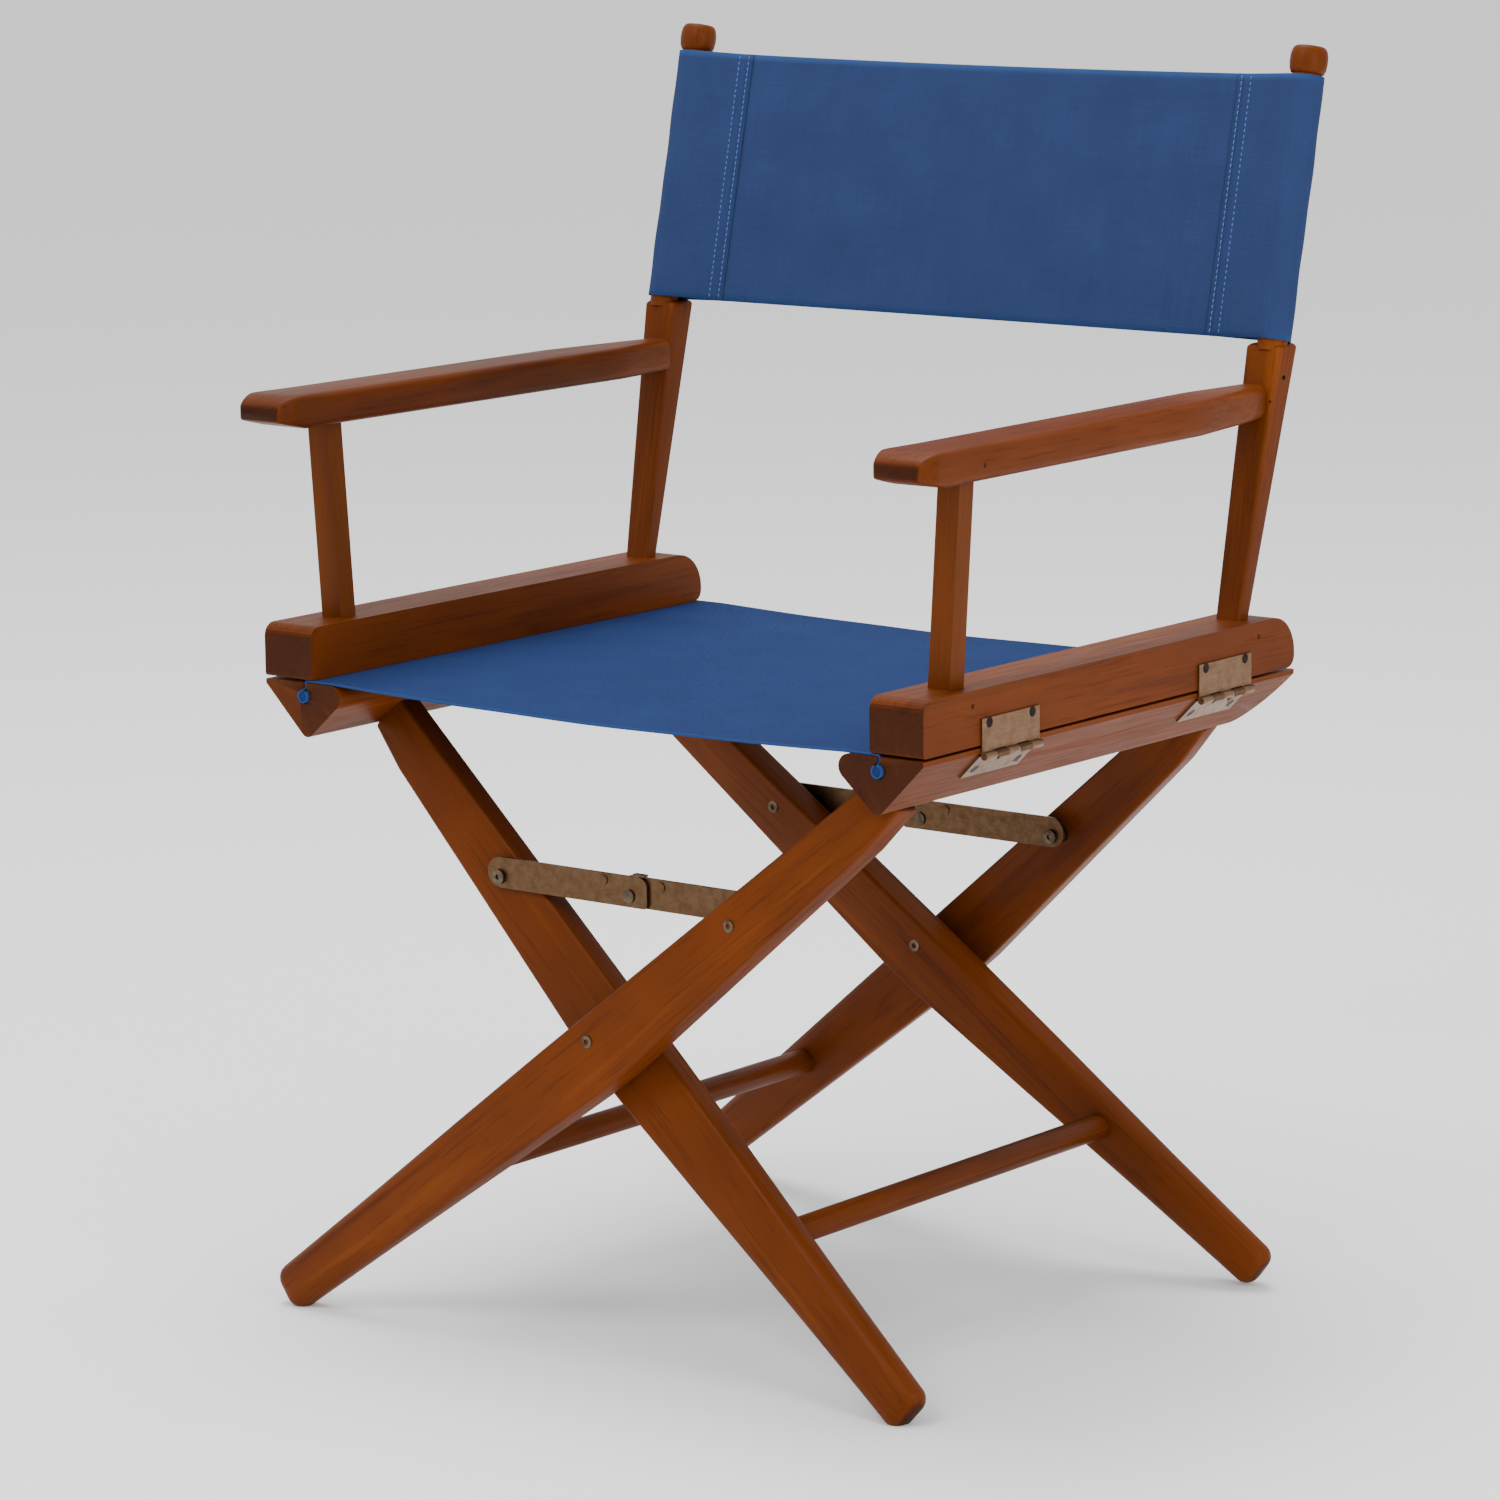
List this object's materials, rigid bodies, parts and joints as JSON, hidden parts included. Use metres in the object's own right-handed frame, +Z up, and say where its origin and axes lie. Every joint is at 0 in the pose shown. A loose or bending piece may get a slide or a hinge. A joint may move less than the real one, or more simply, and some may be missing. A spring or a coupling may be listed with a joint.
{
  "type": "folding director chair",
  "caption": "Folding hardwood armchair with crossed raked legs, hinged arms, knee braces, a slung canvas seat and a canvas back on posts.",
  "frame": {"origin": "on the floor under the middle of the chair, at the centre of its box", "axes": "+Z up, the sitter faces -Y, +X to the right of someone facing the chair from the front"},
  "size_m": [0.5776, 0.4936, 0.8491],
  "materials": {
    "stained_wood": "red-brown stained hardwood with a satin varnish",
    "canvas": "blue cotton duck, plain weave",
    "bronzed_steel": "antique bronze plated steel, brushed",
    "bolt_metal": "dark bronze plated fasteners",
    "steel_brads": "darkened brads sunk in the wood"
  },
  "bodies": {
    "arm_left": {"upper_rail_left": "stained_wood", "front_post_left": "stained_wood", "back_post_left": "stained_wood", "armrest_left": "stained_wood", "arm_brads_left": "steel_brads", "hinge_upper_front_left": "bronzed_steel", "hinge_upper_rear_left": "bronzed_steel", "hinge_pin_front_left": "bolt_metal", "hinge_pin_rear_left": "bolt_metal", "upper_screws_left": "bolt_metal", "back_canvas": "canvas"},
    "arm_right": {"upper_rail_right": "stained_wood", "front_post_right": "stained_wood", "back_post_right": "stained_wood", "armrest_right": "stained_wood", "arm_brads_right": "steel_brads", "hinge_upper_front_right": "bronzed_steel", "hinge_upper_rear_right": "bronzed_steel", "hinge_pin_front_right": "bolt_metal", "hinge_pin_rear_right": "bolt_metal", "upper_screws_right": "bolt_metal"},
    "frame_left": {"hinge_lower_front_left": "bronzed_steel", "hinge_lower_rear_left": "bronzed_steel", "lower_screws_left": "bolt_metal", "lower_rail_left": "stained_wood", "seat_rod_left": "stained_wood", "leg_front_inner": "stained_wood", "leg_rear_inner": "stained_wood", "stretcher_right": "stained_wood", "pivot_bolt_rear": "bolt_metal", "pivot_spacer_rear": "bolt_metal", "pivot_nut_rear": "bolt_metal", "brace_bolts_inner": "bolt_metal", "brace_spacers_inner": "bolt_metal", "seat_canvas": "canvas"},
    "frame_right": {"hinge_lower_front_right": "bronzed_steel", "hinge_lower_rear_right": "bronzed_steel", "lower_screws_right": "bolt_metal", "lower_rail_right": "stained_wood", "seat_rod_right": "stained_wood", "leg_front_outer": "stained_wood", "leg_rear_outer": "stained_wood", "stretcher_left": "stained_wood", "pivot_bolt_front": "bolt_metal", "pivot_spacer_front": "bolt_metal", "pivot_nut_front": "bolt_metal", "brace_bolts_outer": "bolt_metal", "brace_spacers_outer": "bolt_metal"},
    "brace_front_left": {"brace_link_front_left": "bronzed_steel", "knee_rivet_front": "bolt_metal"},
    "brace_front_right": {"brace_link_front_right": "bronzed_steel", "link_stud_front": "bolt_metal"},
    "brace_rear_right": {"brace_link_rear_right": "bronzed_steel", "knee_rivet_rear": "bolt_metal"},
    "brace_rear_left": {"brace_link_rear_left": "bronzed_steel", "link_stud_rear": "bolt_metal"}
  },
  "joints": [
    {"name": "left_rail_hinge", "type": "hinge", "parent": "arm_left", "child": "frame_left", "pos_m": [-0.2802, 0, 0.427], "axis": [0, 1, 0], "range_deg": [0, 40]},
    {"name": "fold", "type": "hinge", "parent": "frame_left", "child": "frame_right", "pos_m": [0, 0, 0.2165], "axis": [0, -1, 0], "range_deg": [0, 80], "deforming": ["seat_canvas", "back_canvas"]},
    {"name": "right_rail_hinge", "type": "hinge", "parent": "frame_right", "child": "arm_right", "pos_m": [0.2802, 0, 0.427], "axis": [0, 1, 0], "range_deg": [0, 40]},
    {"name": "front_brace_pivot", "type": "hinge", "parent": "frame_left", "child": "brace_front_left", "pos_m": [-0.1123, 0, 0.30615], "axis": [0, -1, 0], "range_deg": [0, 115.5]},
    {"name": "front_knee", "type": "hinge", "parent": "brace_front_left", "child": "brace_front_right", "pos_m": [0, 0, 0.30615], "axis": [0, 1, 0], "range_deg": [0, 150.8]},
    {"name": "rear_brace_pivot", "type": "hinge", "parent": "frame_right", "child": "brace_rear_right", "pos_m": [0.1123, 0, 0.30615], "axis": [0, 1, 0], "range_deg": [0, 115.5]},
    {"name": "rear_knee", "type": "hinge", "parent": "brace_rear_right", "child": "brace_rear_left", "pos_m": [0, 0, 0.30615], "axis": [0, -1, 0], "range_deg": [0, 150.8]}
  ],
  "couplings": [
    {"joint": "left_rail_hinge", "follows": "fold", "ratio": 0.5},
    {"joint": "right_rail_hinge", "follows": "fold", "ratio": 0.5},
    {"joint": "front_brace_pivot", "follows": "fold", "ratio": 1.4419},
    {"joint": "front_knee", "follows": "fold", "ratio": 1.8838},
    {"joint": "rear_brace_pivot", "follows": "fold", "ratio": 1.4419},
    {"joint": "rear_knee", "follows": "fold", "ratio": 1.8838}
  ]
}
